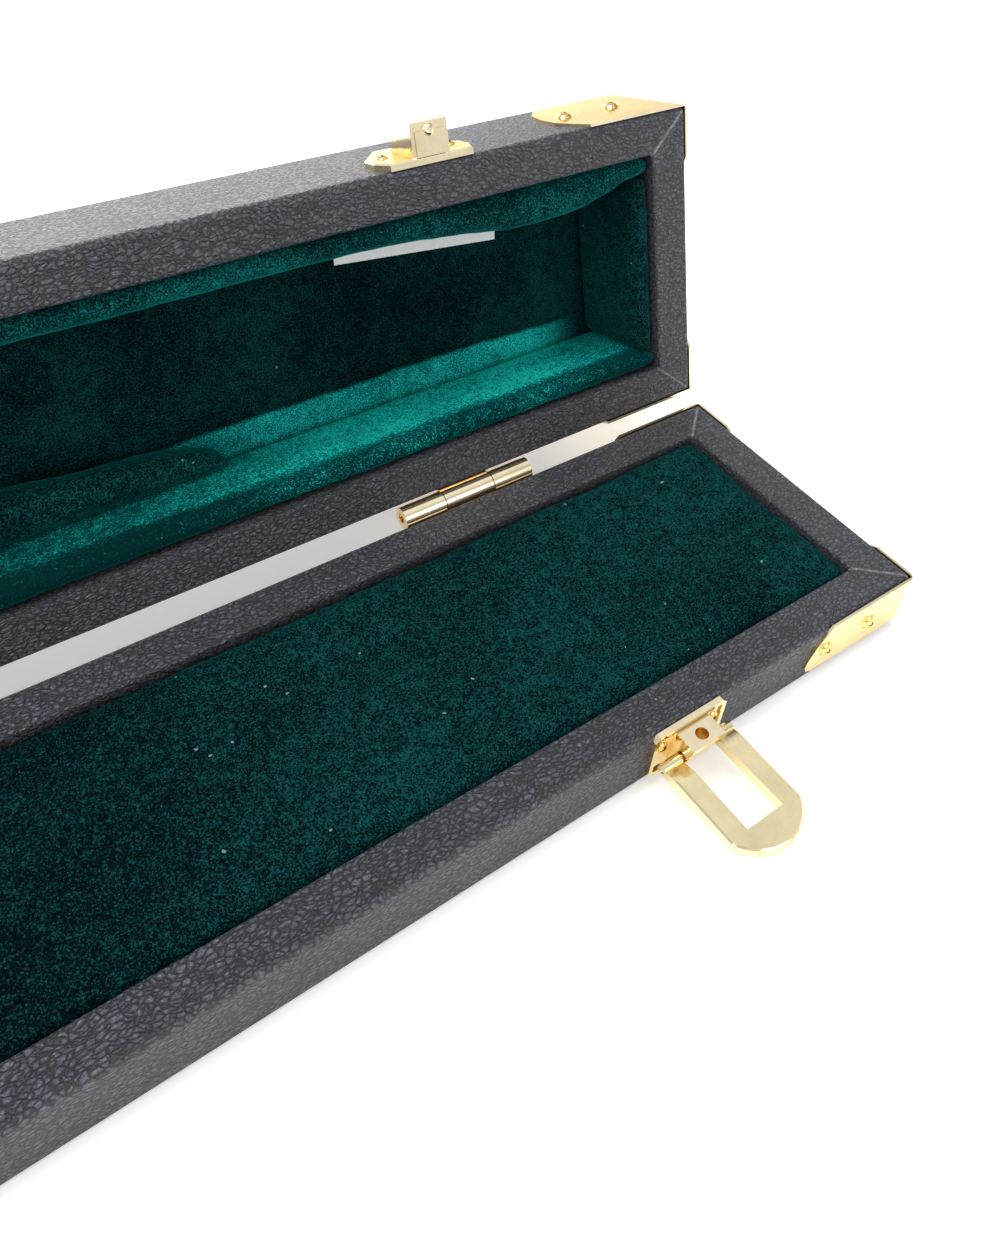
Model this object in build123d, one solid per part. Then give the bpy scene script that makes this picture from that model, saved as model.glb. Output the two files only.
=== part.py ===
from build123d import *
import math
import os

os.makedirs("parts", exist_ok=True)

# ---------------------------------------------------------------- sizes, mm
LEN = 825.0        # outside length of both halves
WID = 105.0        # outside width
LID_H = 23.0       # lid, underside to rim
BASE_D = 43.7      # tray, rim to outer bottom
RIM = 13.5         # rim width along the long sides
RIM_END = 15.4     # rim width at the ends
SKIN = 1.0         # leatherette thickness
EDGE_R = 2.0       # rounding of the covered edges
LID_PANEL = 4.0    # lid panel thickness
BASE_PANEL = 3.0   # tray bottom thickness
WALL = 6.0         # tray wall thickness
LEDGE_H = 10.0     # height of the strips that widen the tray's rim

OPEN_OVER = 16.18  # opening beyond a right angle, degrees
HINGE_OUT = 4.0    # hinge axis outside the back face
HINGE_UP = -0.4    # hinge axis above the lid's rim
HINGE_X = 309.0    # hinge centres, left and right of the middle
BARREL_R = 3.7
HINGE_L = 50.0
KNUCKLE_MID = 19.0
HPIN_R = 1.5
LEAF_T = 1.0
LEAF_H = 14.5

LATCH_X = 313.5    # latch centres
LPIN_OUT = 5.6     # lever axis in front of the lid
LPIN_Z = 13.0      # lever axis above the floor
LPIN_R = 1.15
LEVER_T = 3.6
LEVER_W = 26.4
LEVER_WIN = 13.3
LEVER_L = 36.0
LEVER_REST = 1.0   # degrees, nose a little up

BRACKET_T = 0.9
HANDLE_X = 52.0
HANDLE_OUT = 5.6
HPV = 19.0         # handle axis, depth from the tray rim

HX, HY = LEN / 2, WID / 2
s, c = math.sin(math.radians(OPEN_OVER)), math.cos(math.radians(OPEN_OVER))
Y1 = HY + HINGE_OUT + HINGE_OUT * s - HINGE_UP * c
Z1 = LID_H + HINGE_UP + HINGE_OUT * c + HINGE_UP * s

# tray frame: x along the case, y from the hinge side to the front, z out of
# the rim (the tray fills z 0 to -BASE_D)
BASE = Plane(origin=(0, Y1, Z1), x_dir=(1, 0, 0), z_dir=(0, -c, s)).location


def box(x0, x1, y0, y1, z0, z1):
    return Pos((x0 + x1) / 2, (y0 + y1) / 2, (z0 + z1) / 2) * Box(x1 - x0, y1 - y0, z1 - z0)


def cyl(p, axis, r, l0, l1):
    """cylinder from p + l0*axis to p + l1*axis"""
    a = Vector(*axis).normalized()
    pl = Plane(origin=Vector(*p) + a * l0, z_dir=a)
    return pl.location * Cylinder(r, l1 - l0, align=(Align.CENTER, Align.CENTER, Align.MIN))


def solids(shape):
    return list(shape.solids())


def save(name, *shapes, place=None):
    out = []
    for sh in shapes:
        for so in solids(sh):
            so = so.moved(place) if place is not None else so
            so.label = name
            out.append(so)
    if len(out) == 1:
        export_step(out[0], f"parts/{name}.step")
    else:
        export_step(Compound(label=name, children=out), f"parts/{name}.step")
    print(name, len(out), round(sum(o.volume for o in out), 1))


def screw(p, n, length=8.0, r=1.2, head=2.9, high=1.6):
    """round-head cross-recess screw: p is the seat, n points out"""
    n = Vector(*n).normalized()
    p = Vector(*p)
    body = cyl(p, n, r, -length, 0.4)
    sr = (head * head + high * high) / (2 * high)
    dome = Pos(*(p + n * (high - sr))) * Sphere(sr)
    dome = dome & cyl(p, n, head, 0, high + 1)
    body = body + dome
    ax = Vector(1, 0, 0) if abs(n.X) < 0.5 else Vector(0, 1, 0)
    top = Plane(origin=p + n * (high + 0.5), z_dir=n, x_dir=ax)
    for w, h in ((2.5, 0.55), (0.55, 2.5)):
        body = body - top.location * Box(w, h, 2.2)
    return body


def bore(p, n, r, l0=-9.0, l1=4.0):
    return cyl(p, n, r, l0, l1)


# ------------------------------------------------- where every screw goes
# lid: corner brackets on the long faces, seat on the bracket's outer face
LID_BRS = [(sx * (HX - d), sy * (HY + BRACKET_T), 12.8, (0, sy, 0))
           for sx in (1, -1) for sy in (-1, 1) for d in (18.8, 39.3)]
LID_HGS = [(sx * HINGE_X + d, HY + LEAF_T, 11.2, (0, 1, 0))
           for sx in (1, -1) for d in (-17.5, 0, 17.5)]
LAT_S = [(sx * LATCH_X + d, -HY - 1.2, 15.4, (0, -1, 0))
         for sx in (1, -1) for d in (-9.7, 9.7)]
# tray, in its own frame
BAS_BRS = [(sx * (HX - d), (WID + BRACKET_T) if fr else -BRACKET_T, -18.8, (0, 1 if fr else -1, 0))
           for sx in (1, -1) for fr in (1, 0) for d in (17.6, 37.6)]
BAS_HGS = [(sx * HINGE_X + d, -LEAF_T, -10.8, (0, -1, 0))
           for sx in (1, -1) for d in (-17.5, 0, 17.5)]
KEE_S = [(sx * LATCH_X + d, WID + 2.2, -10.5, (0, 1, 0))
         for sx in (1, -1) for d in (-11.6, 11.6)]
HAN_S = [(sx * HANDLE_X + d, WID + 1.2, -HPV, (0, 1, 0))
         for sx in (1, -1) for d in (-9.2, 9.2)]


def drill(shape, spots, r=1.25):
    for x, y, z, n in spots:
        shape = shape - bore((x, y, z), n, r)
    return shape


# ==================================================================== LID
ix, iy = HX - RIM_END, HY - RIM                    # opening of the lid
panel = box(-HX + SKIN, HX - SKIN, -HY + SKIN, HY - SKIN, SKIN, LID_PANEL)
save("lid_panel", panel)

rail_f = box(-HX + SKIN, HX - SKIN, -HY + SKIN, -iy - SKIN, LID_PANEL, LID_H - SKIN)
rail_b = box(-HX + SKIN, HX - SKIN, iy + SKIN, HY - SKIN, LID_PANEL, LID_H - SKIN)
ends = [box(a, b, -iy - SKIN, iy + SKIN, LID_PANEL, LID_H - SKIN)
        for a, b in ((ix + SKIN, HX - SKIN), (-HX + SKIN, -ix - SKIN))]
spots = LID_BRS + LID_HGS + LAT_S
save("lid_rail_front", drill(rail_f, [q for q in spots if q[1] < 0]))
save("lid_rail_back", drill(rail_b, [q for q in spots if q[1] > 0]))
save("lid_rail_ends", *ends)


def rounded(x0, x1, y0, y1, z0, z1, r):
    b = box(x0, x1, y0, y1, z0, z1)
    b = fillet(b.edges().filter_by(Axis.Z), r)
    return fillet(b.edges().filter_by(lambda e: not (e.geom_type == GeomType.LINE and abs(e.tangent_at(0.5).Z) > 0.9)), r - 0.01)


cover = rounded(-HX, HX, -HY, HY, 0, LID_H, EDGE_R)
cover = cover - box(-ix, ix, -iy, iy, LID_PANEL, LID_H + 5)
rim_edges = cover.edges().filter_by(lambda e: abs(e.center().Z - LID_H) < 0.01 and abs(e.center().X) < ix + 0.5 and abs(e.center().Y) < iy + 0.5)
cover = fillet(rim_edges, 0.9)
cover = cover - box(-HX + SKIN, HX - SKIN, -HY + SKIN, HY - SKIN, SKIN, LID_PANEL)
cover = cover - (box(-HX + SKIN, HX - SKIN, -HY + SKIN, HY - SKIN, LID_PANEL, LID_H - SKIN)
                 - box(-ix - SKIN, ix + SKIN, -iy - SKIN, iy + SKIN, LID_PANEL, LID_H - SKIN))
save("lid_cover", drill(cover, spots))

save("lid_pad_board", box(-ix + 0.3, ix - 0.3, -iy + 0.3, iy - 0.3, LID_PANEL, LID_PANEL + 2))
pad = box(-ix + 0.2, ix - 0.2, -iy + 0.2, iy - 0.2, LID_PANEL + 2, LID_H - 1.3)
pad = fillet(pad.edges().group_by(Axis.Z)[-1], 2.4)
save("lid_pad", pad)


# corner brackets: profile given as (distance from the end, height)
def bracket(profile, end_profile, yf, sy):
    """right-hand corner at x=HX; long face at y=yf facing sy; end profile is
    (distance along the end face, height)"""
    t = BRACKET_T
    zs = [z for d, z in profile]
    zlo, zhi = min(zs), max(zs)
    y_out = yf + sy * t
    ell = box(HX - 60, HX + t, min(yf, y_out), max(yf, y_out), zlo, zhi)
    far = yf - sy * 30
    ell = ell + box(HX, HX + t, min(far, y_out), max(far, y_out), zlo, zhi)
    e = [q for q in ell.edges().filter_by(Axis.Z)
         if abs(q.center().X - (HX + t)) < 0.02 and abs(q.center().Y - y_out) < 0.02]
    ell = fillet(e, 2.6)
    e = [q for q in ell.edges().filter_by(Axis.Z)
         if abs(q.center().X - HX) < 0.02 and abs(q.center().Y - yf) < 0.02]
    ell = fillet(e, 1.7)
    pts = [(HX - d if d > 0 else HX + t + 1, z) for d, z in profile]
    w = Plane(origin=(0, yf, 0), x_dir=(1, 0, 0), z_dir=(0, -1, 0)) * Polyline(*pts, close=True)
    keep = extrude(make_face(w), amount=t + 1, dir=(0, sy, 0))
    pts = [(yf - sy * d if d > 0 else y_out + sy * 1, z) for d, z in end_profile]
    w = Plane(origin=(HX, 0, 0), x_dir=(0, 1, 0), z_dir=(1, 0, 0)) * Polyline(*pts, close=True)
    keep = keep + extrude(make_face(w), amount=t + 1, dir=(1, 0, 0))
    return ell & keep


lid_end = [(0, 3.5), (15.5, 3.5), (18.0, 4.4), (19.0, 6.8), (19.0, 19.0), (18.0, 21.6), (15.5, 22.7), (0, 22.7)]
lid_prof = [(0, 3.5), (16, 3.5), (43.0, 4.2), (45.8, 5.2), (47.0, 7.6), (46.6, 10.6), (44.6, 15.2),
            (41.4, 20.0), (39.0, 22.7), (0, 22.7)]
for name, sx, sy in (("fr", 1, -1), ("fl", -1, -1), ("br", 1, 1), ("bl", -1, 1)):
    b = bracket(lid_prof, lid_end, sy * HY, sy)
    if sx < 0:
        b = mirror(b, Plane.YZ)
    b = drill(b, [q for q in LID_BRS if q[0] * sx > 0 and q[1] * sy > 0], 1.35)
    save("lid_bracket_" + name, b)
save("lid_bracket_screws", *[screw((x, y, z), n) for x, y, z, n in LID_BRS])


# ================================================================== HINGES
def knuckle(x0, x1, cy, cz):
    return cyl((0, cy, cz), (1, 0, 0), BARREL_R, x0, x1)


AY, AZ = HY + HINGE_OUT, LID_H + HINGE_UP
kg = 0.15
for tag, sx in (("r", 1), ("l", -1)):
    x0 = sx * HINGE_X
    h2, k2 = HINGE_L / 2, KNUCKLE_MID / 2
    leaf = box(x0 - h2, x0 + h2, HY, HY + LEAF_T, 4.5, LID_H - 0.3)
    leaf = fillet([e for e in leaf.edges().filter_by(Axis.Y) if e.center().Z < 6], 3.0)
    leaf = leaf - box(x0 - k2 - 0.3, x0 + k2 + 0.3, HY - 1, HY + 3, AZ - BARREL_R - 0.5, LID_H + 2)
    for a, b in ((-h2, -k2 - kg), (k2 + kg, h2)):
        leaf = leaf + box(x0 + a, x0 + b, HY, HY + 3.0, AZ - 3.1, AZ - 0.9) + knuckle(x0 + a, x0 + b, AY, AZ)
    leaf = leaf - cyl((0, AY, AZ), (1, 0, 0), HPIN_R + 0.05, x0 - h2 - 1, x0 + h2 + 1)
    leaf = drill(leaf, [q for q in LID_HGS if q[0] * sx > 0], 1.35)
    save("hinge_lid_leaf_" + tag, leaf)
    # tray leaf in the tray's frame
    by, bz = -HINGE_OUT, -HINGE_UP
    leaf = box(x0 - h2, x0 + h2, -LEAF_T, 0, -17.0, -0.5)
    leaf = fillet([e for e in leaf.edges().filter_by(Axis.Y) if e.center().Z < -15], 3.0)
    for a, b in ((-h2 - 1, -k2 - 0.0), (k2 + 0.0, h2 + 1)):
        leaf = leaf - box(x0 + a, x0 + b, -3, 1, bz - BARREL_R - 0.5, 1)
    leaf = leaf + box(x0 - k2 + kg, x0 + k2 - kg, -3.0, 0, bz - 3.3, bz - 0.9) + knuckle(x0 - k2 + kg, x0 + k2 - kg, by, bz)
    leaf = leaf - cyl((0, by, bz), (1, 0, 0), HPIN_R + 0.05, x0 - h2 - 1, x0 + h2 + 1)
    leaf = drill(leaf, [q for q in BAS_HGS if q[0] * sx > 0], 1.35)
    save("hinge_base_leaf_" + tag, leaf, place=BASE)
save("hinge_pins", *[cyl((0, AY, AZ), (1, 0, 0), HPIN_R, sx * HINGE_X - HINGE_L / 2 + 1.2, sx * HINGE_X + HINGE_L / 2 - 1.2)
                     for sx in (1, -1)])
save("hinge_lid_screws", *[screw((x, y, z), n, head=2.1, high=0.9) for x, y, z, n in LID_HGS])
save("hinge_base_screws", *[screw((x, y, z), n, length=6.0, head=2.1, high=0.9) for x, y, z, n in BAS_HGS], place=BASE)


# ================================================================= LATCHES
def yz_prism(pts, x0, x1):
    """pts as (y, z); extruded along x"""
    w = Plane(origin=(x0, 0, 0), x_dir=(0, 1, 0), z_dir=(1, 0, 0)) * Polyline(*pts, close=True)
    return extrude(make_face(w), amount=x1 - x0, dir=(1, 0, 0))


def xz_prism(pts, y0, y1):
    """pts as (x, z); from y0 towards -y by y0-y1"""
    w = Plane(origin=(0, y0, 0), x_dir=(1, 0, 0), z_dir=(0, -1, 0)) * Polyline(*pts, close=True)
    return extrude(make_face(w), amount=y0 - y1, dir=(0, -1, 0))


PY, PZ = -HY - LPIN_OUT, LPIN_Z
for tag, sx in (("r", 1), ("l", -1)):
    x0 = sx * LATCH_X
    w2, z0, z1, ch = 13.5, 3.6, 22.2, 1.6
    outline = [(x0 - w2 + ch, z0), (x0 + w2 - ch, z0), (x0 + w2, z0 + ch), (x0 + w2, z1 - ch),
               (x0 + w2 - ch, z1), (x0 - w2 + ch, z1), (x0 - w2, z1 - ch), (x0 - w2, z0 + ch)]
    plate = xz_prism(outline, -HY, -HY - 1.9)
    b = 1.5
    inner = [(x0 - w2 + ch + b * .4, z0 + b), (x0 + w2 - ch - b * .4, z0 + b), (x0 + w2 - b, z0 + ch + b * .4),
             (x0 + w2 - b, z1 - ch - b * .4), (x0 + w2 - ch - b * .4, z1 - b), (x0 - w2 + ch + b * .4, z1 - b),
             (x0 - w2 + b, z1 - ch - b * .4), (x0 - w2 + b, z0 + ch + b * .4)]
    plate = plate - xz_prism(inner, -HY - 1.2, -HY - 3.0)
    plate = drill(plate, [q for q in LAT_S if q[0] * sx > 0], 1.35)
    save("latch_plate_" + tag, plate)
    # pivot block with its round hole from above
    F = -HY - 1.2
    blk = yz_prism([(F, 7.0), (F - 4.4, 7.0), (F - 8.2, 18.9), (F - 8.2, 20.5), (F, 20.5)], x0 - 6.1, x0 + 6.1)
    blk = blk - cyl((x0, F - 4.8, 20.5), (0, 0, 1), 2.0, -4.0, 1)
    blk = blk - cyl((0, PY, PZ), (1, 0, 0), LPIN_R + 0.0, x0 - 8, x0 + 8)
    save("latch_block_" + tag, blk)
    # lever, flat along -y from its axis, then turned to the rest angle
    l2, w2 = LEVER_W / 2, LEVER_WIN / 2
    arc0 = LEVER_L - 8.0
    pl = Plane(origin=(x0, PY, PZ - LEVER_T / 2), x_dir=(1, 0, 0), z_dir=(0, 0, 1))
    with BuildPart() as lv:
        with BuildSketch(pl) as sk:
            with BuildLine():
                Polyline((-l2, 0), (-l2, -arc0))
                ThreePointArc((-l2, -arc0), (0, -LEVER_L), (l2, -arc0))
                Polyline((l2, -arc0), (l2, 0), (w2, 0), (w2, -arc0 + 0.8), (-w2, -arc0 + 0.8), (-w2, 0), (-l2, 0))
            make_face()
        extrude(amount=LEVER_T)
    lever = lv.part
    top = [e for e in lever.edges() if e.center().Z > PZ + LEVER_T / 2 - 0.01]
    outer = [e for e in top if e.center().Y < PY - 6 and (abs(e.center().X - x0) > w2 + 1 or e.center().Y < PY - arc0 - 1)]
    lever = chamfer(outer, 0.5)
    # the arms slope down on top towards their axis
    lever = lever - yz_prism([(PY - 6.4, PZ + LEVER_T / 2), (PY + 4, PZ - 0.6), (PY + 4, PZ + 4), (PY - 6.4, PZ + 4)], x0 - 15, x0 + 15)
    for a, b2_ in ((-l2, -w2), (w2, l2)):
        lever = lever + cyl((0, PY, PZ), (1, 0, 0), LEVER_T / 2, x0 + a, x0 + b2_)
    lever = lever - cyl((0, PY, PZ), (1, 0, 0), LPIN_R + 0.05, x0 - 20, x0 + 20)
    axis = Axis((x0, PY, PZ), (1, 0, 0))
    lever = lever.rotate(axis, -LEVER_REST)
    save("latch_lever_" + tag, lever)
save("latch_pins", *[cyl((0, PY, PZ), (1, 0, 0), LPIN_R, sx * LATCH_X - 13.0, sx * LATCH_X + 13.0)
                     for sx in (1, -1)])
save("latch_screws", *[screw((x, y, z), n, head=2.1, high=1.0) for x, y, z, n in LAT_S])

# =================================================================== TRAY
bx, b0, b1 = HX - RIM_END, RIM, WID - RIM          # opening of the tray
zb = -BASE_D + SKIN
save("base_panel", box(-HX + SKIN, HX - SKIN, SKIN, WID - SKIN, zb, zb + BASE_PANEL), place=BASE)
zw = zb + BASE_PANEL
wall_f = box(-HX + SKIN, HX - SKIN, WID - SKIN - WALL, WID - SKIN, zw, -SKIN)
wall_b = box(-HX + SKIN, HX - SKIN, SKIN, SKIN + WALL, zw, -SKIN)
wall_e = [box(a, b, SKIN + WALL, WID - SKIN - WALL, zw, -SKIN)
          for a, b in ((HX - SKIN - WALL, HX - SKIN), (-HX + SKIN, -HX + SKIN + WALL))]
bspots = BAS_BRS + BAS_HGS + KEE_S + HAN_S
save("base_wall_front", drill(wall_f, [q for q in bspots if q[1] > 50]), place=BASE)
save("base_wall_back", drill(wall_b, [q for q in bspots if q[1] < 50]), place=BASE)
save("base_wall_ends", *wall_e, place=BASE)
wi0, wi1, wix = SKIN + WALL, WID - SKIN - WALL, HX - SKIN - WALL
zl = -SKIN - LEDGE_H
strips = [box(-wix, wix, b1 + SKIN, wi1, zl, -SKIN), box(-wix, wix, wi0, b0 - SKIN, zl, -SKIN),
          box(bx + SKIN, wix, b0 - SKIN, b1 + SKIN, zl, -SKIN), box(-wix, -bx - SKIN, b0 - SKIN, b1 + SKIN, zl, -SKIN)]
strips[0] = drill(strips[0], [q for q in bspots if q[1] > 50])
strips[1] = drill(strips[1], [q for q in bspots if q[1] < 50])
save("base_rim_strips", *strips, place=BASE)

cover = rounded(-HX, HX, 0, WID, -BASE_D, 0, EDGE_R)
cover = cover - box(-bx, bx, b0, b1, zl, 5)
rim_edges = cover.edges().filter_by(lambda e: abs(e.center().Z) < 0.01 and abs(e.center().X) < bx + 0.5 and b0 - 0.5 < e.center().Y < b1 + 0.5)
cover = fillet(rim_edges, 0.9)
cover = cover - box(-HX + SKIN, HX - SKIN, SKIN, WID - SKIN, zb, zl)
cover = cover - (box(-HX + SKIN, HX - SKIN, SKIN, WID - SKIN, zl - 1, -SKIN)
                 - box(-bx - SKIN, bx + SKIN, b0 - SKIN, b1 + SKIN, zl - 2, 1))
save("base_cover", drill(cover, bspots), place=BASE)

# foam behind the lining, below the strips
foam = [box(-wix, wix, b1 + 0.2, wi1, zw, zl), box(-wix, wix, wi0, b0 - 0.2, zw, zl),
        box(bx + 0.2, wix, b0 - 0.2, b1 + 0.2, zw, zl), box(-wix, -bx - 0.2, b0 - 0.2, b1 + 0.2, zw, zl)]
foam[0] = drill(foam[0], [q for q in bspots if q[1] > 50])
foam[1] = drill(foam[1], [q for q in bspots if q[1] < 50])
save("base_side_foam", *foam, place=BASE)

# velvet-covered padding
PADW = 7.0
ft = zw + 1.9                                       # top of the floor pad
floor_pad = box(-bx + 0.2, bx - 0.2, b0 + 0.2, b1 - 0.2, zw, ft)
save("base_floor_pad", floor_pad, place=BASE)
lt, lb = -1.2, ft + 0.2


def lining(x0, x1, y0, y1, sel):
    b = box(x0, x1, y0, y1, lb, lt)
    e = [q for q in b.edges().group_by(Axis.Z)[-1] if sel(q.center())]
    return fillet(e, 3.0)


# the front lining is fuller near the label
full = [(130, 0), (108, 0.9), (90, 3.0), (74, 5.4), (60, 6.5), (48, 6.0), (38, 4.0), (31, 1.6), (26, 0.0)]
pf = b1 - 0.3 - PADW
pts = [(-bx + 0.3, b1 - 0.3), (-bx + 0.3, pf)] + [(HX - d, pf - f) for d, f in full] + [(bx - 0.3, pf), (bx - 0.3, b1 - 0.3)]
w = Plane(origin=(0, 0, lb), x_dir=(1, 0, 0), z_dir=(0, 0, 1)) * Polyline(*pts, close=True)
lin_f = extrude(make_face(w), amount=lt - lb, dir=(0, 0, 1))
lin_f = chamfer([q for q in lin_f.edges().group_by(Axis.Z)[-1] if q.center().Y < b1 - 1 and abs(q.center().X) < bx - 1], 1.2)
lin_b = lining(-bx + 0.3, bx - 0.3, b0 + 0.3, b0 + 0.3 + PADW, lambda q: q.Y > b0 + 1 and abs(q.X) < 10)
lin_e = [lining(bx - 0.3 - PADW, bx - 0.3, b0 + 0.6 + PADW, b1 - 0.6 - PADW, lambda q: q.X < bx - PADW and abs(q.Y - WID / 2) < 5),
         lining(-bx + 0.3, -bx + 0.3 + PADW, b0 + 0.6 + PADW, b1 - 0.6 - PADW, lambda q: q.X > -bx + PADW and abs(q.Y - WID / 2) < 5)]
save("base_lining_front", lin_f, place=BASE)
save("base_lining_back", lin_b, place=BASE)
save("base_lining_ends", *lin_e, place=BASE)

# velvet-covered bow rest in the corner of floor and hinge-side wall
ry = b0 + 0.6 + PADW
rz0, rz1 = ft + 0.2, -21.8
half = [(241.0, 0.0), (238.5, 4.2), (233.0, 7.6), (225.0, 9.6), (205.0, 12.0), (172.0, 14.6), (120.0, 17.0), (0.0, 18.5)]
right = [(x, ry + w) for x, w in half]
left = [(-x, ry + w) for x, w in reversed(half[:-1])]
w = Plane(origin=(0, 0, rz0), x_dir=(1, 0, 0), z_dir=(0, 0, 1)) * Polyline(*(right + left), close=True)
rest = extrude(make_face(w), amount=rz1 - rz0, dir=(0, 0, 1))
rest = chamfer([e for e in rest.edges().group_by(Axis.Z)[-1] if e.center().Y > ry + 1], 1.6)
save("base_bow_rest", rest, place=BASE)

# bare paper label on the floor lining, one edge under the front padding
label = Pos(HX - 88.6, 71.2, ft + 0.17) * Rot(0, 0, -5.4) * Box(62.0, 5.4, 0.24)
save("base_label", label, place=BASE)


# corner brackets of the tray, drawn on the right-hand corners
tray_prof = [(0, -0.4), (40.5, -0.4), (44.0, -8.0), (45.6, -13.0), (45.0, -22.0), (42.5, -30.5), (38.0, -36.2),
             (29.5, -38.6), (0, -38.6)]
tray_end = [(0, -0.4), (17.0, -0.4), (19.5, -1.6), (20.5, -4.0), (20.5, -28.0), (19.0, -33.5), (15.5, -37.2),
            (11.0, -38.6), (0, -38.6)]
for name, sx, fr in (("fr", 1, 1), ("fl", -1, 1), ("br", 1, 0), ("bl", -1, 0)):
    b = bracket(tray_prof, tray_end, WID if fr else 0.0, 1 if fr else -1)
    if sx < 0:
        b = mirror(b, Plane.YZ)
    b = drill(b, [q for q in BAS_BRS if q[0] * sx > 0 and (q[1] > 50) == bool(fr)], 1.35)
    save("base_bracket_" + name, b, place=BASE)
save("base_bracket_screws", *[screw((x, y, z), n, length=6.5) for x, y, z, n in BAS_BRS], place=BASE)

# keepers on the tray's front wall
for tag, sx in (("r", 1), ("l", -1)):
    x0 = sx * LATCH_X
    hexa = [(x0 - 14, -0.5), (x0 + 14, -0.5), (x0 + 16.5, -6), (x0 + 16.5, -12), (x0 + 9, -22),
            (x0 - 9, -22), (x0 - 16.5, -12), (x0 - 16.5, -6)]
    w = Plane(origin=(0, WID, 0), x_dir=(1, 0, 0), z_dir=(0, -1, 0)) * Polyline(*hexa, close=True)
    k = extrude(make_face(w), amount=2.2, dir=(0, 1, 0))
    k = chamfer(k.faces().sort_by(Axis.Y)[-1].edges(), 0.5)
    # hollow tower, open at the back, that the lever's window closes over
    tower = box(x0 - 6.2, x0 + 6.2, WID, WID + 12.0, -14.0, -0.9)
    tower = fillet([e for e in tower.edges().filter_by(Axis.Z) if e.center().Y > WID + 10], 0.5)
    tower = tower - box(x0 - 5.0, x0 + 5.0, WID + 2.2, WID + 13, -16, -2.1)
    tower = tower + (box(x0 - 4.9, x0 + 4.9, WID + 2.6, WID + 9.4, -1.6, -0.55))
    boss = Pos(x0, WID + 9.4, -1.5) * Sphere(1.9) & box(x0 - 3, x0 + 3, WID + 6, WID + 12, -1.3, 0.3)
    k = k + tower + boss
    k = drill(k, [q for q in KEE_S if q[0] * sx > 0], 1.35)
    save("keeper_" + tag, k, place=BASE)
save("keeper_screws", *[screw((x, y, z), n, length=6.0, head=2.1, high=0.9) for x, y, z, n in KEE_S], place=BASE)

# carrying handle on the tray's front wall
mounts = []
for sx in (1, -1):
    x0 = sx * HANDLE_X
    m = box(x0 - 12.5, x0 + 12.5, WID, WID + 1.2, -HPV - 6.5, -HPV + 6.5)
    m = fillet(m.edges().filter_by(Axis.Y), 3.0)
    for d in (-5.2, 5.2):
        ear = box(x0 + d - 0.9, x0 + d + 0.9, WID + 0.5, WID + HANDLE_OUT, -HPV - 3.2, -HPV + 3.2)
        ear = ear + cyl((0, WID + HANDLE_OUT, -HPV), (1, 0, 0), 3.2, x0 + d - 0.9, x0 + d + 0.9)
        m = m + ear
    m = m - cyl((0, WID + HANDLE_OUT, -HPV), (1, 0, 0), 1.5, x0 - 8, x0 + 8)
    m = drill(m, [q for q in HAN_S if q[0] * sx > 0], 1.35)
    mounts.append(m)
save("handle_mount_r", mounts[0], place=BASE)
save("handle_mount_l", mounts[1], place=BASE)
save("handle_pins", *[cyl((0, WID + HANDLE_OUT, -HPV), (1, 0, 0), 1.5, sx * HANDLE_X - 6.8, sx * HANDLE_X + 6.8)
                      for sx in (1, -1)], place=BASE)
save("handle_screws", *[screw((x, y, z), n, length=6.0, head=2.1, high=0.9) for x, y, z, n in HAN_S], place=BASE)

HY0, HZ0, HL = WID + HANDLE_OUT, -HPV, 17.5
grip = cyl((0, HY0 + 0.4, HZ0 - HL), (1, 0, 0), 4.6, -36, 36)
for sx in (1, -1):
    x0 = sx * HANDLE_X
    eye = cyl((0, HY0, HZ0), (1, 0, 0), 3.3, x0 - 3.8, x0 + 3.8)
    tongue = box(x0 - 3.8, x0 + 3.8, HY0 - 1.9, HY0 + 1.9, HZ0 - HL + 2, HZ0)
    arm = box(min(sx * 34, x0 + sx * 3.8), max(sx * 34, x0 + sx * 3.8), HY0 - 1.9, HY0 + 2.3, HZ0 - HL - 4.0, HZ0 - HL + 4.0)
    arm = fillet([e for e in arm.edges().filter_by(Axis.Y) if abs(e.center().X) > HANDLE_X and e.center().Z < HZ0 - HL], 5.0)
    grip = grip + eye + tongue + arm
for sx in (1, -1):
    grip = grip - cyl((0, HY0, HZ0), (1, 0, 0), 1.56, sx * HANDLE_X - 8, sx * HANDLE_X + 8)
save("handle_grip", grip, place=BASE)
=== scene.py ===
import bpy, bmesh, math
from mathutils import Matrix, Vector


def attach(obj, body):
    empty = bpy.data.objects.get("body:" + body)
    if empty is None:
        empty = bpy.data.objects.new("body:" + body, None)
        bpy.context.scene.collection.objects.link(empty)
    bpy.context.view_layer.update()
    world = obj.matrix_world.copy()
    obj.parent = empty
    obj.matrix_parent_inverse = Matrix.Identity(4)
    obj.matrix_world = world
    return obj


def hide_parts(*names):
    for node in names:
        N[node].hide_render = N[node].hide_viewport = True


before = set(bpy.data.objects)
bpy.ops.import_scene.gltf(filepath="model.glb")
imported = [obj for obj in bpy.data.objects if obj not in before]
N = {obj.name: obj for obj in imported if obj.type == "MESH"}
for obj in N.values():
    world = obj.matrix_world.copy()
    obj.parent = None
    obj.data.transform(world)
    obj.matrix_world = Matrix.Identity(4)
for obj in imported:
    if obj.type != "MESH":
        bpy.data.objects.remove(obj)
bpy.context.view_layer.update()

scene = bpy.context.scene

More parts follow.
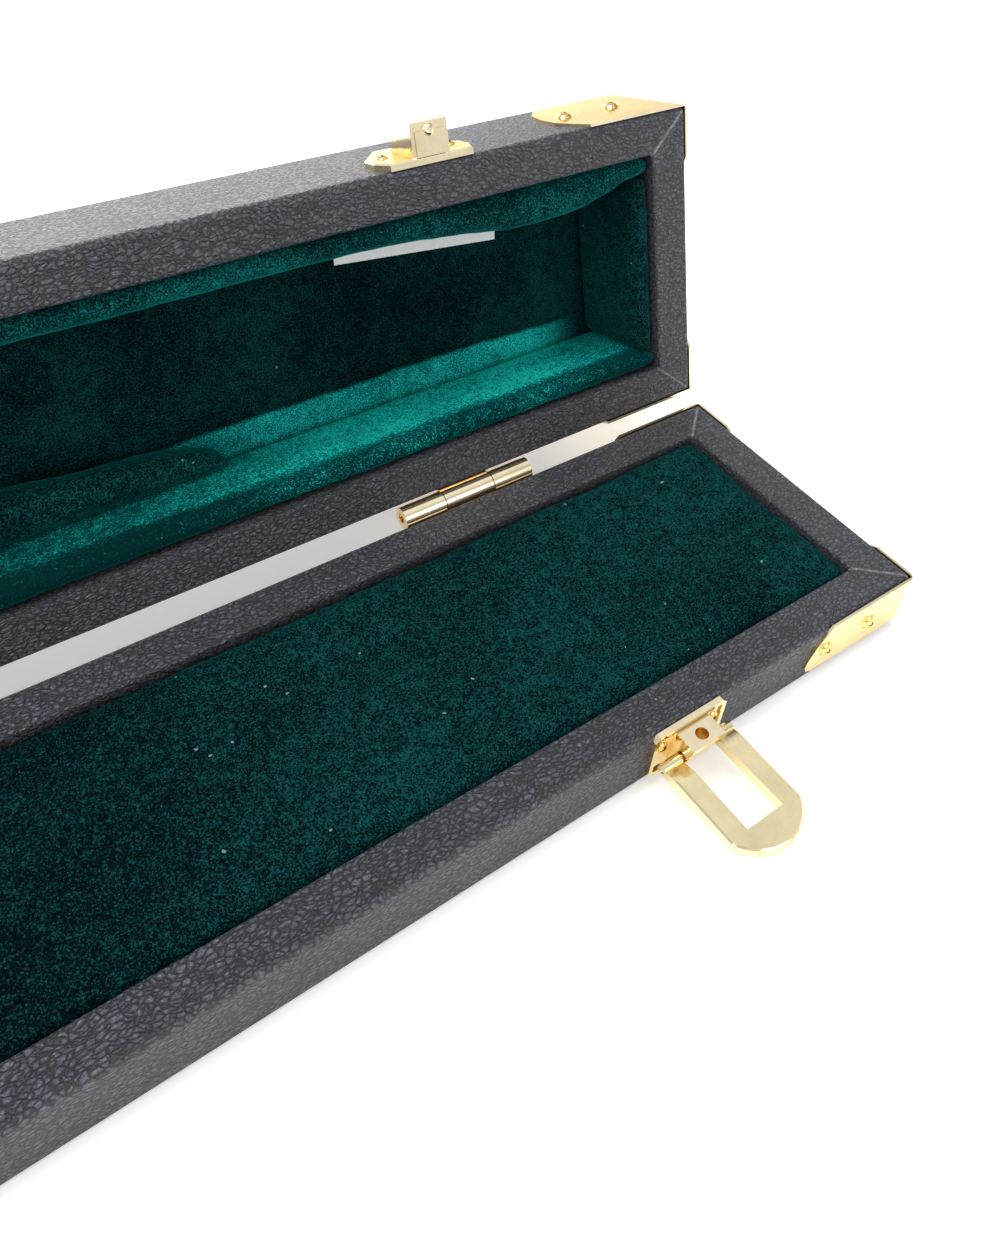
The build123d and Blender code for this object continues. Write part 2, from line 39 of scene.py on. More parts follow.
# ------------------------------------------------------------------ camera
W = 0.105
C = Vector((-2.38789, -0.99679, 2.52307)) * W + Vector((0.4125, -0.0525, 0.0))
rv = Vector((2.22673, -0.67841, 0.42465))
Rw = Matrix.Rotation(rv.length, 3, rv.normalized())      # rows: right, down, forward
cam_data = bpy.data.cameras.new("cam")
cam = bpy.data.objects.new("cam", cam_data)
scene.collection.objects.link(cam)
right, down, fwd = (Vector(Rw[i]) for i in range(3))
m = Matrix((right, -down, -fwd)).transposed().to_4x4()
m.translation = C
cam.matrix_world = m
cam_data.sensor_width = 36.0
cam_data.lens = 1043.43 / 1239.0 * 36.0
cam_data.shift_x = -51.0 / 1239.0
cam_data.shift_y = -154.0 / 1239.0
cam_data.clip_start = 0.01
scene.camera = cam


# --------------------------------------------------------------- materials
def nt(name):
    mt = bpy.data.materials.new(name)
    mt.use_nodes = True
    t = mt.node_tree
    b = t.nodes["Principled BSDF"]
    return mt, t, b


def node(t, kind, **kw):
    n = t.nodes.new(kind)
    for k, v in kw.items():
        if k.startswith("i_"):
            n.inputs[k[2:].replace("_", " ")].default_value = v
        else:
            setattr(n, k, v)
    return n


def ramp(t, src, stops, interp="LINEAR"):
    r = node(t, "ShaderNodeValToRGB")
    r.color_ramp.interpolation = interp
    e = r.color_ramp.elements
    while len(e) < len(stops):
        e.new(0.5)
    for k, (p, c) in zip(e, stops):
        k.position = p
        k.color = c if len(c) == 4 else (*c, 1)
    t.links.new(src, r.inputs[0])
    return r.outputs[0]


def mathn(t, op, a, b=None, c=None, clamp=False):
    n = node(t, "ShaderNodeMath", operation=op, use_clamp=clamp)
    for i, v in enumerate((a, b, c)):
        if v is None:
            continue
        if isinstance(v, (int, float)):
            n.inputs[i].default_value = v
        else:
            t.links.new(v, n.inputs[i])
    return n.outputs[0]


def coords(t, scale=(1, 1, 1)):
    tc = node(t, "ShaderNodeTexCoord")
    mp = node(t, "ShaderNodeMapping")
    mp.inputs["Scale"].default_value = scale
    t.links.new(tc.outputs["Object"], mp.inputs["Vector"])
    return mp.outputs["Vector"]


def noise(t, vec, scale, detail=2.0, rough=0.5, dist=0.0):
    n = node(t, "ShaderNodeTexNoise")
    n.inputs["Scale"].default_value = scale
    n.inputs["Detail"].default_value = detail
    n.inputs["Roughness"].default_value = rough
    n.inputs["Distortion"].default_value = dist
    t.links.new(vec, n.inputs["Vector"])
    return n.outputs["Fac"]


def warped(t, vec, scale, amount):
    n = node(t, "ShaderNodeTexNoise")
    n.inputs["Scale"].default_value = scale
    n.inputs["Detail"].default_value = 2.0
    t.links.new(vec, n.inputs["Vector"])
    s = node(t, "ShaderNodeVectorMath", operation="SUBTRACT")
    s.inputs[1].default_value = (0.5, 0.5, 0.5)
    t.links.new(n.outputs["Color"], s.inputs[0])
    k = node(t, "ShaderNodeVectorMath", operation="SCALE")
    k.inputs["Scale"].default_value = amount
    t.links.new(s.outputs[0], k.inputs[0])
    a = node(t, "ShaderNodeVectorMath", operation="ADD")
    t.links.new(vec, a.inputs[0])
    t.links.new(k.outputs[0], a.inputs[1])
    return a.outputs[0]


def bump(t, height, strength, distance, normal=None):
    b = node(t, "ShaderNodeBump")
    b.inputs["Strength"].default_value = strength
    b.inputs["Distance"].default_value = distance
    t.links.new(height, b.inputs["Height"])
    if normal is not None:
        t.links.new(normal, b.inputs["Normal"])
    return b.outputs["Normal"]


def mapped(t, M):
    """object coordinates carried by the rigid matrix M (turned about X only)"""
    tc = node(t, "ShaderNodeTexCoord")
    mp = node(t, "ShaderNodeMapping")
    mp.inputs["Location"].default_value = M.translation
    mp.inputs["Rotation"].default_value = M.to_euler("XYZ")
    t.links.new(tc.outputs["Object"], mp.inputs["Vector"])
    return mp.outputs["Vector"]


def mixc(t, fac, a, b, mode="MIX"):
    n = node(t, "ShaderNodeMix", data_type="RGBA", blend_type=mode)
    for s, v in ((n.inputs["Factor"], fac), (n.inputs[6], a), (n.inputs[7], b)):
        if isinstance(v, (int, float)):
            s.default_value = v
        elif isinstance(v, tuple):
            s.default_value = v if len(v) == 4 else (*v, 1)
        else:
            t.links.new(v, s)
    return n.outputs[2]


def leatherette(name, M=None, rim=None, cell=780.0, depth=0.00045):
    """pebble-grain cover; rim = (half length, y lo, y hi, rim end, rim side, rim z) draws the mitred corner seams"""
    mt, t, b = nt(name)
    v = mapped(t, M if M is not None else Matrix.Identity(4))
    st = node(t, "ShaderNodeMapping")
    st.inputs["Scale"].default_value = (0.62, 1.0, 1.0)
    t.links.new(v, st.inputs["Vector"])
    w = warped(t, warped(t, st.outputs["Vector"], 55.0, 0.005), 380.0, 0.0019)
    vo = node(t, "ShaderNodeTexVoronoi", feature="DISTANCE_TO_EDGE")
    vo.inputs["Scale"].default_value = cell
    t.links.new(w, vo.inputs["Vector"])
    edge = ramp(t, vo.outputs["Distance"], [(0.0, (0, 0, 0)), (0.10, (0.28,) * 3), (0.24, (0.85,) * 3), (0.5, (1, 1, 1))], "EASE")
    vo2 = node(t, "ShaderNodeTexVoronoi", feature="DISTANCE_TO_EDGE")
    vo2.inputs["Scale"].default_value = cell * 2.1
    t.links.new(w, vo2.inputs["Vector"])
    e2 = ramp(t, vo2.outputs["Distance"], [(0.0, (0, 0, 0)), (0.25, (1, 1, 1))], "EASE")
    fine = noise(t, v, cell * 4, 3.0, 0.6)
    broad = noise(t, v, 18.0, 3.0, 0.5)
    h = mathn(t, "MULTIPLY_ADD", e2, 0.35, edge)
    h = mathn(t, "MULTIPLY_ADD", fine, 0.25, h)
    # painted shade: the colour is darker in the creases between the pebbles and lighter on their tops
    col = mixc(t, edge, (0.004, 0.0045, 0.0065), (0.050, 0.0530, 0.0690))
    col = mixc(t, 1.0, col, ramp(t, broad, [(0.3, (0.8, 0.8, 0.82)), (0.7, (1.15, 1.15, 1.16))]), "MULTIPLY")
    # painted highlights: pale bluish glints on the tops of the grain
    gl = mathn(t, "MULTIPLY", noise(t, w, cell * 1.15, 2.0, 0.6), ramp(t, vo.outputs["Distance"], [(0.05, (0, 0, 0)), (0.12, (1, 1, 1)), (0.34, (0.75,) * 3), (0.5, (0.3,) * 3)]))
    painted_glints = ramp(t, gl, [(0.49, (0, 0, 0)), (0.58, (1, 1, 1))])
    col = mixc(t, mathn(t, "MULTIPLY", painted_glints, 0.32), col, (0.19, 0.205, 0.260))
    nrm = bump(t, h, 1.0, depth)
    if rim is not None:
        hx, y0, y1, re, rs, rz = rim
        sep = node(t, "ShaderNodeSeparateXYZ")
        t.links.new(v, sep.inputs[0])
        a = mathn(t, "DIVIDE", mathn(t, "SUBTRACT", hx, mathn(t, "ABSOLUTE", sep.outputs[0])), re)
        yy = mathn(t, "ABSOLUTE", mathn(t, "SUBTRACT", sep.outputs[1], (y0 + y1) / 2))
        bb = mathn(t, "DIVIDE", mathn(t, "SUBTRACT", (y1 - y0) / 2, yy), rs)
        d = mathn(t, "ABSOLUTE", mathn(t, "SUBTRACT", a, bb))
        d = mathn(t, "ADD", d, mathn(t, "MULTIPLY", mathn(t, "SUBTRACT", noise(t, v, 700.0, 2.0), 0.5), 0.10))
        line = ramp(t, d, [(0.0, (1, 1, 1)), (0.035, (0.6,) * 3), (0.075, (0, 0, 0))])
        lip = ramp(t, d, [(0.0, (0, 0, 0)), (0.06, (1, 1, 1)), (0.20, (0.0,) * 3)])
        near = mathn(t, "MULTIPLY", mathn(t, "LESS_THAN", a, 1.15), mathn(t, "GREATER_THAN", sep.outputs[2], rz - 0.0012))
        line = mathn(t, "MULTIPLY", line, near)
        lip = mathn(t, "MULTIPLY", lip, near)
        col = mixc(t, mathn(t, "MULTIPLY", line, 0.55), col, (0.42, 0.42, 0.44))
        h2 = mathn(t, "SUBTRACT", mathn(t, "MULTIPLY", lip, 0.8), mathn(t, "MULTIPLY", line, 1.2))
        nrm = bump(t, h2, 0.9, 0.0006, nrm)
    t.links.new(nrm, b.inputs["Normal"])
    t.links.new(col, b.inputs["Base Color"])
    rg = ramp(t, mathn(t, "MULTIPLY_ADD", fine, 0.35, mathn(t, "MULTIPLY", edge, 0.6)), [(0.1, (0.58,) * 3), (0.9, (0.34,) * 3)])
    t.links.new(rg, b.inputs["Roughness"])
    b.inputs["Specular IOR Level"].default_value = 0.6
    return mt


def velvet(name, dark, mid, tip, weight=0.5, srough=0.4, tint=(0.0, 0.80, 0.74), painted_glints=0.5, broad_amt=0.4, broad_s=14.0, stretch=(1, 1, 1), grad=None, strip=None, lip=None):
    """cut pile: dark between, mid on the pile and tip where it catches the light"""
    mt, t, b = nt(name)
    v = coords(t)
    mp = node(t, "ShaderNodeMapping")
    mp.inputs["Scale"].default_value = stretch
    t.links.new(v, mp.inputs["Vector"])
    sv = mp.outputs["Vector"]
    pile = noise(t, sv, 1900.0, 2.0, 0.7)
    clump = noise(t, warped(t, sv, 120.0, 0.003), 330.0, 3.0, 0.7)
    broad = noise(t, warped(t, v, 9.0, 0.03), broad_s, 3.0, 0.6)
    fac = mathn(t, "MULTIPLY_ADD", clump, 0.28, mathn(t, "MULTIPLY", pile, 0.92))
    fac = mathn(t, "ADD", fac, mathn(t, "MULTIPLY", mathn(t, "SUBTRACT", broad, 0.5), broad_amt))
    if grad is not None:
        axis, p0, p1, g0, g1 = grad
        sep = node(t, "ShaderNodeSeparateXYZ")
        t.links.new(v, sep.inputs[0])
        g = node(t, "ShaderNodeMapRange", interpolation_type="SMOOTHSTEP")
        g.inputs["From Min"].default_value = p0
        g.inputs["From Max"].default_value = p1
        g.inputs["To Min"].default_value = g0
        g.inputs["To Max"].default_value = g1
        t.links.new(sep.outputs[axis], g.inputs["Value"])
        fac = mathn(t, "ADD", fac, g.outputs["Result"])
    if lip is not None:
        # painted shade: the pile is darkened on the rolled edge and towards the corner
        sl = node(t, "ShaderNodeSeparateXYZ")
        t.links.new(warped(t, v, 60.0, 0.003), sl.inputs[0])
        for o_, q0, q1, g1 in lip:
            ml = node(t, "ShaderNodeMapRange", interpolation_type="SMOOTHSTEP")
            ml.inputs["From Min"].default_value = q0
            ml.inputs["From Max"].default_value = q1
            ml.inputs["To Max"].default_value = g1
            t.links.new(sl.outputs[o_], ml.inputs["Value"])
            fac = mathn(t, "ADD", fac, ml.outputs["Result"])
    col = ramp(t, fac, [(0.46, dark), (0.60, mid), (0.73, tip)])
    if strip is not None:
        # painted light: a bright band of lit pile along the foot of the wall, standing in for the lit face of a
        # lining about 8 mm thicker at the floor
        p0, p1, d2, m2, t2 = strip
        sp = node(t, "ShaderNodeSeparateXYZ")
        t.links.new(warped(t, v, 30.0, 0.006), sp.inputs[0])
        sm = node(t, "ShaderNodeMapRange", interpolation_type="SMOOTHSTEP")
        sm.inputs["From Min"].default_value = p1
        sm.inputs["From Max"].default_value = p0
        t.links.new(sp.outputs[1], sm.inputs["Value"])
        sx = node(t, "ShaderNodeMapRange", interpolation_type="SMOOTHSTEP")
        sx.inputs["From Min"].default_value = 0.20
        sx.inputs["From Max"].default_value = 0.27
        sx.inputs["To Min"].default_value = 0.5
        t.links.new(sp.outputs[0], sx.inputs["Value"])
        sr = node(t, "ShaderNodeMapRange", interpolation_type="SMOOTHSTEP")
        sr.inputs["From Min"].default_value = 0.389
        sr.inputs["From Max"].default_value = 0.362
        t.links.new(sp.outputs[0], sr.inputs["Value"])
        col = mixc(t, mathn(t, "MULTIPLY", mathn(t, "MULTIPLY", sm.outputs["Result"], sx.outputs["Result"]), sr.outputs["Result"]), col, ramp(t, fac, [(0.46, d2), (0.60, m2), (0.73, t2)]))
    # painted highlights: bright glints flecked over the pile, strongest where the pile is lightest
    spark = ramp(t, noise(t, sv, 2900.0, 1.0, 0.5), [(0.66, (0, 0, 0)), (0.76, (1, 1, 1))])
    spark = mathn(t, "MULTIPLY", spark, ramp(t, fac, [(0.45, (0.05,) * 3), (0.75, (1, 1, 1))]))
    col = mixc(t, mathn(t, "MULTIPLY", spark, painted_glints), col, tuple(min(1.0, c * 2.6 + 0.004) for c in tip))
    # a little lint
    lint = ramp(t, noise(t, v, 560.0, 0.0, 0.5), [(0.893, (0, 0, 0)), (0.905, (1, 1, 1))])
    col = mixc(t, mathn(t, "MULTIPLY", lint, 0.4), col, (0.35, 0.45, 0.43))
    t.links.new(col, b.inputs["Base Color"])
    b.inputs["Roughness"].default_value = 0.92
    b.inputs["Specular IOR Level"].default_value = 0.03
    b.inputs["Sheen Weight"].default_value = weight
    b.inputs["Sheen Roughness"].default_value = srough
    b.inputs["Sheen Tint"].default_value = (*tint, 1)
    nrm = bump(t, mathn(t, "MULTIPLY_ADD", clump, 0.7, pile), 0.8, 0.0004)
    t.links.new(nrm, b.inputs["Normal"])
    return mt


def brass(name, col=(0.94, 0.82, 0.56), rough=0.10, brushed=0.0, dark=0.86):
    mt, t, b = nt(name)
    v = coords(t)
    b.inputs["Metallic"].default_value = 1.0
    cl = noise(t, v, 70.0, 3.0, 0.6)
    c = ramp(t, cl, [(0.3, tuple(x * dark for x in col)), (0.6, col), (0.8, tuple(min(1, x * 1.05) for x in col))])
    # painted shade: recesses, corners and the ground around screws turn a deeper amber by ambient occlusion
    ao = node(t, "ShaderNodeAmbientOcclusion", samples=6)
    ao.inputs["Distance"].default_value = 0.0045
    occ = ramp(t, ao.outputs["AO"], [(0.12, (0, 0, 0)), (0.62, (1, 1, 1))])
    c = mixc(t, occ, (0.62, 0.36, 0.10), c)
    t.links.new(c, b.inputs["Base Color"])
    b.inputs["Specular Tint"].default_value = (1.0, 0.86, 0.58, 1)
    fine = noise(t, v, 900.0, 4.0, 0.65)
    r = ramp(t, fine, [(0.3, (rough * 0.7,) * 3), (0.75, (rough * 1.6,) * 3)])
    t.links.new(r, b.inputs["Roughness"])
    h = mathn(t, "MULTIPLY_ADD", fine, 0.25, noise(t, v, 120.0, 2.0))
    if brushed:
        s = coords(t, (60, 2600, 2600))
        h = mathn(t, "MULTIPLY_ADD", noise(t, s, 1.0, 3.0, 0.7), brushed, h)
    nrm = bump(t, h, 0.25, 0.00015)
    t.links.new(nrm, b.inputs["Normal"])
    return mt


def wood(name, col=(0.50, 0.34, 0.19)):
    mt, t, b = nt(name)
    v = coords(t, (3, 60, 60))
    g = noise(t, v, 6.0, 6.0, 0.6, 0.8)
    t.links.new(ramp(t, g, [(0.3, tuple(c * 0.6 for c in col)), (0.7, col)]), b.inputs["Base Color"])
    b.inputs["Roughness"].default_value = 0.7
    t.links.new(bump(t, g, 0.3, 0.0004), b.inputs["Normal"])
    return mt


def paper(name):
    mt, t, b = nt(name)
    v = coords(t)
    g = noise(t, v, 1500.0, 4.0, 0.7)
    t.links.new(ramp(t, g, [(0.3, (0.62, 0.64, 0.64)), (0.7, (0.74, 0.76, 0.76))]), b.inputs["Base Color"])
    b.inputs["Roughness"].default_value = 0.6
    t.links.new(bump(t, g, 0.2, 0.0001), b.inputs["Normal"])
    return mt


def foam(name):
    mt, t, b = nt(name)
    v = coords(t)
    g = noise(t, v, 900.0, 4.0, 0.7)
    t.links.new(ramp(t, g, [(0.3, (0.12, 0.12, 0.11)), (0.7, (0.35, 0.35, 0.33))]), b.inputs["Base Color"])
    b.inputs["Roughness"].default_value = 0.95
    t.links.new(bump(t, g, 0.6, 0.0006), b.inputs["Normal"])
    return mt


HX, WID_, LID_H = 0.4125, 0.105, 0.023
HO, HU, DEG = 0.0040, -0.0004, 16.18
s_, c_ = math.sin(math.radians(DEG)), math.cos(math.radians(DEG))
Y1 = WID_ / 2 + HO + HO * s_ - HU * c_
Z1 = LID_H + HU + HO * c_ + HU * s_
# tray frame: x along the case, y from the hinge side to the front, z out of the rim
TRAY = Matrix(((1, 0, 0, 0), (0, s_, -c_, Y1), (0, c_, s_, Z1), (0, 0, 0, 1)))
LIDF = Matrix.Identity(4)


def local_of(node_name, F):
    return F.inverted() @ N[node_name].matrix_world


M_LEATHER = leatherette("leatherette_lid", local_of("lid_cover", LIDF), (HX, -WID_ / 2, WID_ / 2, 0.0154, 0.0135, LID_H))
M_LEATHER_T = leatherette("leatherette_tray", local_of("base_cover", TRAY), (HX, 0.0, WID_, 0.0154, 0.0135, 0.0))
M_HANDLE = leatherette("handle_leather", None, None, cell=900.0, depth=0.0003)
# one velvet in lit and shaded copies: each panel's colours are painted brighter or darker for how the light falls on
# it (painted light and shade)
V_PAD = velvet("velvet_lid_pad", (0.0001, 0.0016, 0.0020), (0.0005, 0.0052, 0.0060), (0.0030, 0.046, 0.046), weight=0.05, painted_glints=0.9, broad_amt=0.22, grad=(0, 0.05, 0.34, -0.065, 0.04))
V_FLOOR = velvet("velvet_tray_floor", (0.0002, 0.0020, 0.0024), (0.0006, 0.0068, 0.0078), (0.003, 0.042, 0.042), weight=0.05, painted_glints=0.8, strip=(0.0282, 0.0302, (0.0006, 0.040, 0.039), (0.0040, 0.175, 0.170), (0.012, 0.54, 0.46)))
V_BACK = velvet("velvet_tray_hinge_side", (0.0003, 0.016, 0.0160), (0.0030, 0.165, 0.160), (0.012, 0.64, 0.52), weight=0.15, painted_glints=0.9, broad_amt=0.35, grad=(0, 0.17, 0.30, -0.085, 0.05), lip=((2, -0.0125, -0.0065, -0.17), (0, 0.345, 0.385, -0.12)))
V_ROLL = velvet("velvet_tray_front", (0.0004, 0.0050, 0.0055), (0.0012, 0.018, 0.018), (0.004, 0.12, 0.11), weight=0.25, painted_glints=0.7)
V_END = velvet("velvet_tray_ends", (0.0003, 0.0028, 0.0032), (0.0010, 0.0095, 0.0105), (0.004, 0.055, 0.052), weight=0.12, painted_glints=0.6)
V_REST = velvet("velvet_bow_rest", (0.0004, 0.0035, 0.0040), (0.0014, 0.014, 0.0145), (0.005, 0.085, 0.080), weight=0.15, painted_glints=0.6)
M_BRASS = brass("brass_plate")
M_LEVER = brass("brass_lever", col=(0.88, 0.76, 0.47), rough=0.16, brushed=0.5)
M_SCREW = brass("brass_screw", col=(0.86, 0.62, 0.24), rough=0.12)
M_WOOD = wood("lid_wood")
M_PLY = wood("tray_ply", (0.62, 0.47, 0.28))
M_BOARD = wood("pad_board", (0.30, 0.2, 0.12))
M_PAPER = paper("paper")
M_FOAM = foam("foam")


def paint(names, mt):
    for n in names:
        me = N[n].data
        me.materials.clear()
        me.materials.append(mt)


paint(["lid_cover"], M_LEATHER)
paint(["base_cover"], M_LEATHER_T)
paint(["handle_grip"], M_HANDLE)
paint(["lid_panel", "lid_rail_front", "lid_rail_back", "lid_rail_ends"], M_WOOD)
paint(["base_panel", "base_wall_front", "base_wall_back", "base_wall_ends", "base_rim_strips"], M_PLY)
paint(["lid_pad_board"], M_BOARD)
paint(["base_side_foam"], M_FOAM)
paint(["base_label"], M_PAPER)
paint([n for n in N if "bracket_" in n and "screws" not in n], M_BRASS)
paint([n for n in N if n.startswith(("hinge_lid_leaf", "hinge_base_leaf", "latch_plate", "latch_block", "keeper_r", "keeper_l", "handle_mount"))], M_BRASS)
paint(["hinge_pins", "latch_pins", "handle_pins"], M_BRASS)
paint(["latch_lever_r", "latch_lever_l"], M_LEVER)
paint([n for n in N if n.endswith("screws")], M_SCREW)


# ------------------------------------------------------------ soft pieces
import numpy as np
from mathutils import noise as mnoise


def evaluated(o):
    dg = bpy.context.evaluated_depsgraph_get()
    dg.update()
    return bpy.data.meshes.new_from_object(o.evaluated_get(dg))


def swap(o, me):
    old = o.data
    o.modifiers.clear()
    o.data = me
    bpy.data.meshes.remove(old)


def get(me):
    a = np.empty(len(me.vertices) * 3)
    me.vertices.foreach_get("co", a)
    return a.reshape(-1, 3)


def put(me, a):
    me.vertices.foreach_set("co", np.ascontiguousarray(a, dtype=np.float64).ravel())
    me.update()


def smooth(me, a, times, f=0.5):
    e = np.empty(len(me.edges) * 2, dtype=np.int64)
    me.edges.foreach_get("vertices", e)
    e = e.reshape(-1, 2)
    deg = np.bincount(e.ravel(), minlength=len(a))[:, None].astype(float)
    for _ in range(times):
        s = np.zeros_like(a)
        np.add.at(s, e[:, 0], a[e[:, 1]])
        np.add.at(s, e[:, 1], a[e[:, 0]])
        a = a + (s / deg - a) * f
    return a


def islands(nodes, F, split):
    """the CAD solid's points and faces in frame F, cut into its separate solids where split"""
    out = []
    for n in nodes:
        o = N[n]
        m = F.inverted() @ o.matrix_world
        bm = bmesh.new()
        bm.from_mesh(o.data)
        bm.transform(m)
        bmesh.ops.remove_doubles(bm, verts=bm.verts, dist=1e-6)
        groups = [lambda c: True] if not split else [lambda c: c.x > 0, lambda c: c.x <= 0]
        for g in groups:
            b2 = bm.copy()
            bmesh.ops.delete(b2, geom=[f for f in b2.faces if not g(f.calc_center_median())], context="FACES")
            me = bpy.data.meshes.new(n + "_start")
            b2.to_mesh(me)
            b2.free()
            out.append(me)
        bm.free()
    return out


def soft(name, cad_nodes, F, body, mt, inset, voxel=0.004, stretch=(1, 1, 1), cap=0.003, rounds=4, rough=0.0002, split=False, wave=None, seed=0, grow=(0.0015, 0.0012, 0.0003), tight=0.0001, lift=0.0):
    """inset: ((x lo, x hi), (y lo, y hi), (z lo, z hi)) by which the start shape is smaller than the CAD solid"""
    parts = []
    k = np.array(stretch, float)
    for me in islands(cad_nodes, F, split):
        a = get(me)
        lo, hi = a.min(0), a.max(0)
        lo2 = lo + np.array([i[0] for i in inset])
        hi2 = hi - np.array([i[1] for i in inset])
        a = lo2 + (a - lo) / (hi - lo) * (hi2 - lo2)
        put(me, a * k)
        o = bpy.data.objects.new(name + "_sim", me)
        scene.collection.objects.link(o)
        r = o.modifiers.new("r", "REMESH")
        r.mode = "VOXEL"
        r.voxel_size = voxel
        r.adaptivity = 0.0
        swap(o, evaluated(o))
        start = get(o.data)
        cl = o.modifiers.new("c", "CLOTH")
        cs = cl.settings
        cs.use_pressure = True
        cs.uniform_pressure_force = 4.0
        cs.quality = 5
        cs.mass = 0.3
        cs.effector_weights.gravity = 0.0
        cl.collision_settings.use_collision = False
        cl.point_cache.frame_start = 1
        cl.point_cache.frame_end = 20
        for f in range(1, 21):
            scene.frame_set(f)
        swap(o, evaluated(o))
        scene.frame_set(1)
        a = get(o.data)
        d = a - start
        ln = np.linalg.norm(d, axis=1, keepdims=True)
        a = start + d * np.minimum(1.0, cap / np.maximum(ln, 1e-9))
        a = smooth(o.data, a, rounds)
        # grow back to the solid's sides, then cut to them, so that the pad fills its space
        g = np.array(grow) * k
        lo_k, hi_k = lo * k + tight * k, hi * k - tight * k + np.array([0, 0, lift]) * k
        a = (lo_k - g) + (a - a.min(0)) / (a.max(0) - a.min(0)) * (hi_k - lo_k + 2 * g)
        a = np.clip(a, lo_k, hi_k)
        a = smooth(o.data, a, 1, 0.5)
        put(o.data, a / k)
        s = o.modifiers.new("s", "SUBSURF")
        s.levels = s.render_levels = 1
        swap(o, evaluated(o))
        a = get(o.data)
        nv = np.empty(len(a) * 3)
        o.data.vertex_normals.foreach_get("vector", nv)
        nv = nv.reshape(-1, 3)
        amp = np.array([mnoise.noise(Vector((p[0] * 46 + seed, p[1] * 90, p[2] * 90))) * 0.6 + mnoise.noise(Vector((p[0] * 170, p[1] * 210 + seed, p[2] * 210))) * 0.4 for p in a])
        a = a + nv * (amp * rough)[:, None]
        if wave is not None:
            a = wave(a)
        a = np.clip(a, lo + 0.00006, hi - 0.00006 + np.array([0, 0, lift]))
        put(o.data, a)
        parts.append(o)
    o = parts[0]
    if len(parts) > 1:
        bm = bmesh.new()
        for q in parts:
            bm.from_mesh(q.data)
        me = bpy.data.meshes.new(name)
        bm.to_mesh(me)
        bm.free()
        for q in parts[1:]:
            bpy.data.objects.remove(q)
        swap(o, me)
    o.name = name
    o.data.name = name
    for pl in o.data.polygons:
        pl.use_smooth = True
    o.data.materials.clear()
    o.data.materials.append(mt)
    o.matrix_world = F
    bpy.context.view_layer.update()
    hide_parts(*cad_nodes)
    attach(o, body)
    return o


mm = 0.001
soft("soft_lid_pad", ["lid_pad"], LIDF, "lid", V_PAD, ((0.3 * mm, 0.3 * mm), (0.3 * mm, 0.3 * mm), (0.1 * mm, 1.2 * mm)), voxel=0.0040, cap=0.0024, rounds=2, rough=0.0007, seed=3, grow=(0.0026, 0.0024, 0.0022), tight=0.00003, lift=0.0007)
soft("soft_lining_front", ["base_lining_front"], TRAY, "tray", V_ROLL, ((0.2 * mm, 0.2 * mm), (0.9 * mm, 0.1 * mm), (0.2 * mm, 0.5 * mm)), voxel=0.0032, cap=0.0016, rounds=3, rough=0.0005, seed=7)
soft("soft_lining_back", ["base_lining_back"], TRAY, "tray", V_BACK, ((0.2 * mm, 0.2 * mm), (0.1 * mm, 0.9 * mm), (0.2 * mm, 0.5 * mm)), voxel=0.0032, cap=0.0016, rounds=3, rough=0.0005, seed=11)
soft("soft_lining_ends", ["base_lining_ends"], TRAY, "tray", V_END, ((0.8 * mm, 0.8 * mm), (0.1 * mm, 0.1 * mm), (0.2 * mm, 0.5 * mm)), voxel=0.0032, cap=0.0016, rounds=3, rough=0.0005, split=True, seed=5)
soft("soft_floor_pad", ["base_floor_pad"], TRAY, "tray", V_FLOOR, ((0.1 * mm, 0.1 * mm), (0.1 * mm, 0.1 * mm), (0.05 * mm, 0.3 * mm)), voxel=0.0045, stretch=(1, 1, 5), cap=0.0024, rounds=1, rough=0.0003, seed=2, grow=(0.004, 0.004, 0.0003), tight=0.00002)
soft("soft_bow_rest", ["base_bow_rest"], TRAY, "tray", V_REST, ((0.8 * mm, 0.8 * mm), (0.1 * mm, 0.8 * mm), (0.1 * mm, 0.7 * mm)), voxel=0.0034, cap=0.0016, rounds=4, rough=0.0005, seed=13, grow=(0.0008, 0.0006, 0.0002))

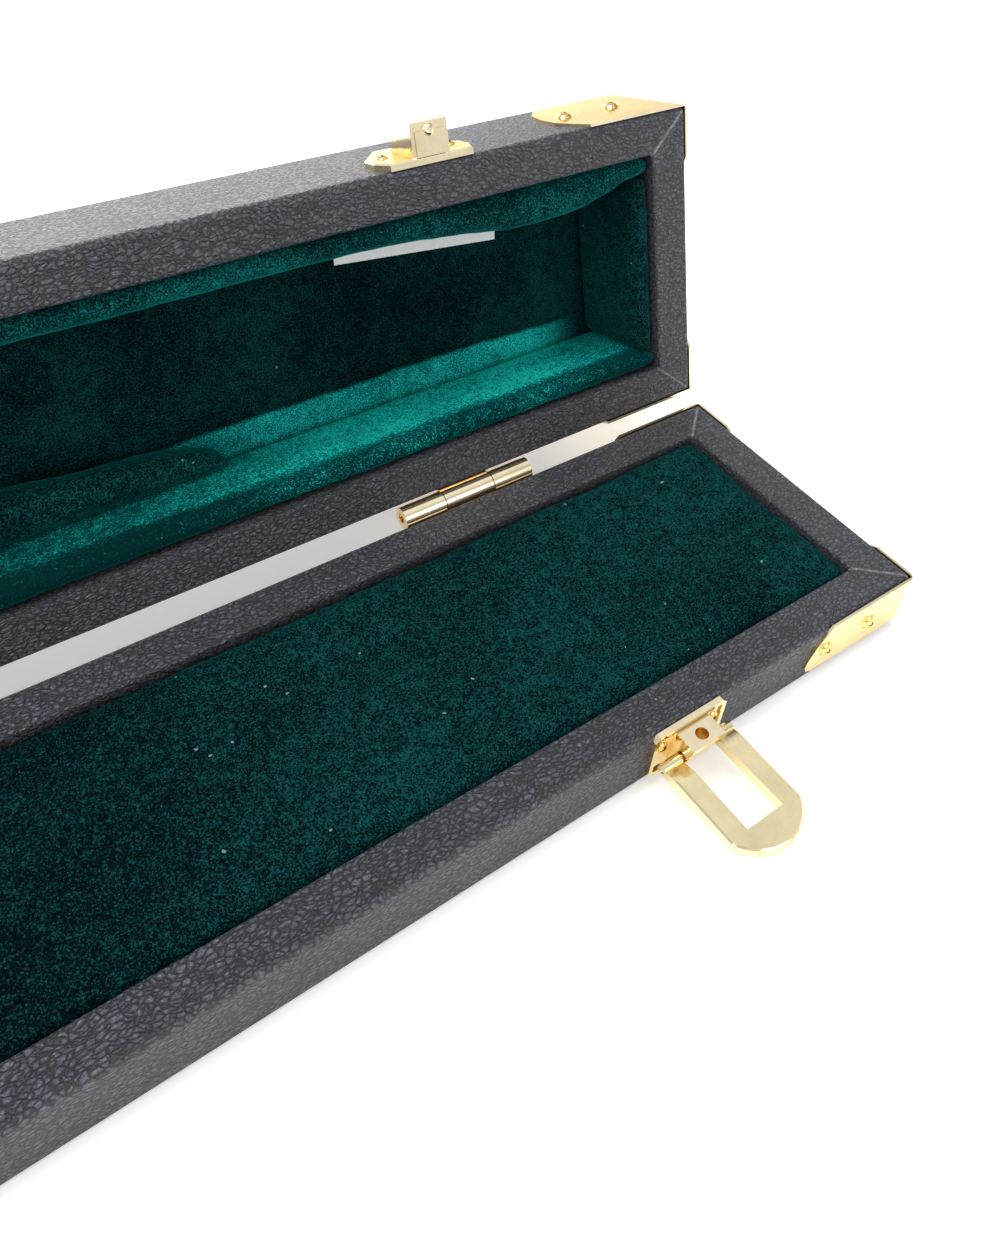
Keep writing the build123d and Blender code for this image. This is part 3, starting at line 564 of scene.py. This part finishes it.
# ------------------------------------------------------- stage and lights
def floor():
    me = bpy.data.meshes.new("floor")
    s = 6.0
    me.from_pydata([(-s, -s, 0), (s, -s, 0), (s, s, 0), (-s, s, 0)], [], [(0, 1, 2, 3)])
    o = bpy.data.objects.new("floor", me)
    scene.collection.objects.link(o)
    mt, t, b = nt("floor_paper")
    v = coords(t)
    t.links.new(ramp(t, noise(t, v, 3.0, 2.0), [(0.3, (0.93, 0.93, 0.93)), (0.7, (0.95, 0.95, 0.95))]), b.inputs["Base Color"])
    b.inputs["Roughness"].default_value = 0.85
    b.inputs["Specular IOR Level"].default_value = 0.2
    b.inputs["Emission Color"].default_value = (1, 1, 1, 1)
    b.inputs["Emission Strength"].default_value = 0.22
    me.materials.append(mt)


floor()


def area(name, loc, target, size, power, size_y=None, color=(1, 1, 1)):
    d = bpy.data.lights.new(name, "AREA")
    d.energy = power
    d.color = color
    d.shape = "RECTANGLE"
    d.size = size
    d.size_y = size_y or size
    o = bpy.data.objects.new(name, d)
    scene.collection.objects.link(o)
    z = (Vector(loc) - Vector(target)).normalized()
    o.matrix_world = Matrix.Translation(loc) @ z.to_track_quat("Z", "Y").to_matrix().to_4x4()
    return o


T = (0.25, 0.0, 0.05)
area("key_top", (0.0, 0.35, 1.5), T, 0.9, 21, 0.7)
area("back_low", (0.35, 1.5, 0.42), (0.25, 0.05, 0.0), 1.5, 15, 0.7)
area("fill_left", (-1.5, -0.4, 0.9), T, 1.0, 9, 0.8)
area("fill_front", (0.6, -1.7, 0.8), T, 1.2, 7, 0.8)

world = bpy.data.worlds.new("world")
scene.world = world
world.use_nodes = True
wt = world.node_tree
bg = wt.nodes["Background"]
wc = node(wt, "ShaderNodeTexCoord")
wm = node(wt, "ShaderNodeMapping")
wm.inputs["Scale"].default_value = (1.6, 1.6, 2.2)
wt.links.new(wc.outputs["Generated"], wm.inputs["Vector"])
wn = noise(wt, wm.outputs["Vector"], 1.0, 1.0, 0.4)
wt.links.new(ramp(wt, wn, [(0.30, (0.40, 0.39, 0.37)), (0.47, (0.98, 0.98, 0.98)), (0.62, (1.12, 1.12, 1.12))]), bg.inputs[0])
bg.inputs[1].default_value = 0.9

scene.view_settings.view_transform = "Standard"
scene.view_settings.exposure = 0.0
